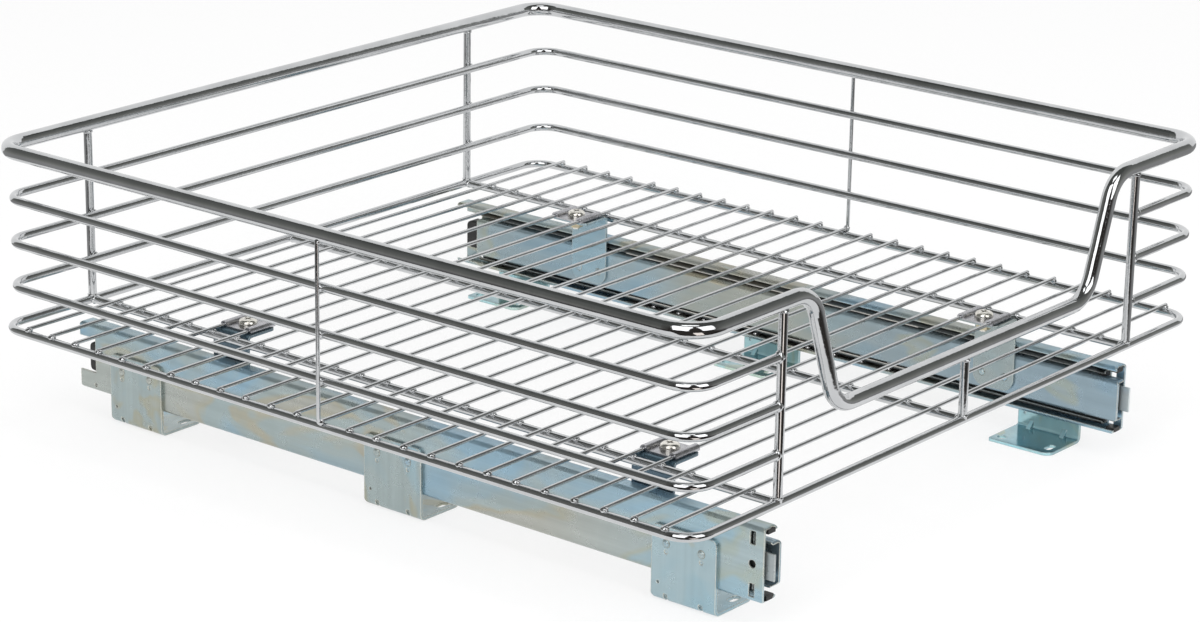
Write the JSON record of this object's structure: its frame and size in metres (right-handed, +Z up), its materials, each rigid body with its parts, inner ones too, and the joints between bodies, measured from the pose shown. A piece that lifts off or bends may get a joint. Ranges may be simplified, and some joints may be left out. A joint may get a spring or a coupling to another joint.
{
  "type": "pull-out cabinet organizer",
  "caption": "Chrome wire basket with a dipped front pull bar, on two full-extension ball bearing slides with riveted floor feet.",
  "frame": {"origin": "on the cabinet floor, under the middle of the basket's bounding box", "axes": "+X right, -Y towards the side that is pulled, +Z up; the slides run along Y"},
  "size_m": [0.5278, 0.5572, 0.1961],
  "materials": {
    "chrome_wire": "bright chrome plate",
    "zinc_plate": "clear blue-grey zinc plate",
    "cage_steel": "bright zinc plate",
    "ball_steel": "polished steel",
    "black_plastic": "black moulded plastic",
    "clip_steel": "grey zinc plate",
    "screw_steel": "bright zinc plate",
    "yellow_zinc": "yellow zinc plate"
  },
  "bodies": {
    "cabinet_rails": {"left_outer_member": "zinc_plate", "left_outer_race_stops": "black_plastic", "left_rear_bumper": "black_plastic", "left_front_foot": "zinc_plate", "left_middle_foot": "zinc_plate", "left_rear_foot": "zinc_plate", "right_outer_member": "zinc_plate", "right_outer_race_stops": "black_plastic", "right_rear_bumper": "black_plastic", "right_front_foot": "zinc_plate", "right_middle_foot": "zinc_plate", "right_rear_foot": "zinc_plate", "foot_rivets": "zinc_plate"},
    "basket": {"back_uprights": "chrome_wire", "bottom_frame": "chrome_wire", "centre_stringer": "chrome_wire", "cross_wires": "chrome_wire", "front_uprights": "chrome_wire", "handle_post": "chrome_wire", "left_stringer": "chrome_wire", "lower_hoop": "chrome_wire", "middle_hoop": "chrome_wire", "right_stringer": "chrome_wire", "rim_rod": "chrome_wire", "side_loop_wire": "chrome_wire", "upper_hoop": "chrome_wire", "left_front_basket_bracket": "zinc_plate", "left_rear_basket_bracket": "zinc_plate", "left_inner_member": "zinc_plate", "right_front_basket_bracket": "zinc_plate", "right_rear_basket_bracket": "zinc_plate", "right_inner_member": "zinc_plate", "bracket_rivets": "zinc_plate", "wire_clips": "clip_steel", "clip_screws": "screw_steel", "clip_nuts": "yellow_zinc"},
    "left_intermediate": {"left_intermediate_member": "zinc_plate", "left_inner_race_stops": "black_plastic"},
    "left_outer_cage": {"left_outer_ball_cage": "cage_steel", "left_outer_balls": "ball_steel"},
    "left_inner_cage": {"left_inner_ball_cage": "cage_steel", "left_inner_balls": "ball_steel"},
    "right_intermediate": {"right_intermediate_member": "zinc_plate", "right_inner_race_stops": "black_plastic"},
    "right_outer_cage": {"right_outer_ball_cage": "cage_steel", "right_outer_balls": "ball_steel"},
    "right_inner_cage": {"right_inner_ball_cage": "cage_steel", "right_inner_balls": "ball_steel"}
  },
  "joints": [
    {"name": "basket_slide", "type": "slide", "parent": "cabinet_rails", "child": "basket", "axis": [0, -1, 0], "range_m": [0, 0.54]},
    {"name": "left_intermediate_slide", "type": "slide", "parent": "cabinet_rails", "child": "left_intermediate", "axis": [0, -1, 0], "range_m": [0, 0.27]},
    {"name": "left_outer_cage_slide", "type": "slide", "parent": "cabinet_rails", "child": "left_outer_cage", "axis": [0, -1, 0], "range_m": [0, 0.135]},
    {"name": "left_inner_cage_slide", "type": "slide", "parent": "cabinet_rails", "child": "left_inner_cage", "axis": [0, -1, 0], "range_m": [0, 0.405]},
    {"name": "right_intermediate_slide", "type": "slide", "parent": "cabinet_rails", "child": "right_intermediate", "axis": [0, -1, 0], "range_m": [0, 0.27]},
    {"name": "right_outer_cage_slide", "type": "slide", "parent": "cabinet_rails", "child": "right_outer_cage", "axis": [0, -1, 0], "range_m": [0, 0.135]},
    {"name": "right_inner_cage_slide", "type": "slide", "parent": "cabinet_rails", "child": "right_inner_cage", "axis": [0, -1, 0], "range_m": [0, 0.405]}
  ],
  "couplings": [
    {"joint": "left_intermediate_slide", "follows": "basket_slide", "ratio": 0.5},
    {"joint": "left_outer_cage_slide", "follows": "basket_slide", "ratio": 0.25},
    {"joint": "left_inner_cage_slide", "follows": "basket_slide", "ratio": 0.75},
    {"joint": "right_intermediate_slide", "follows": "basket_slide", "ratio": 0.5},
    {"joint": "right_outer_cage_slide", "follows": "basket_slide", "ratio": 0.25},
    {"joint": "right_inner_cage_slide", "follows": "basket_slide", "ratio": 0.75}
  ]
}
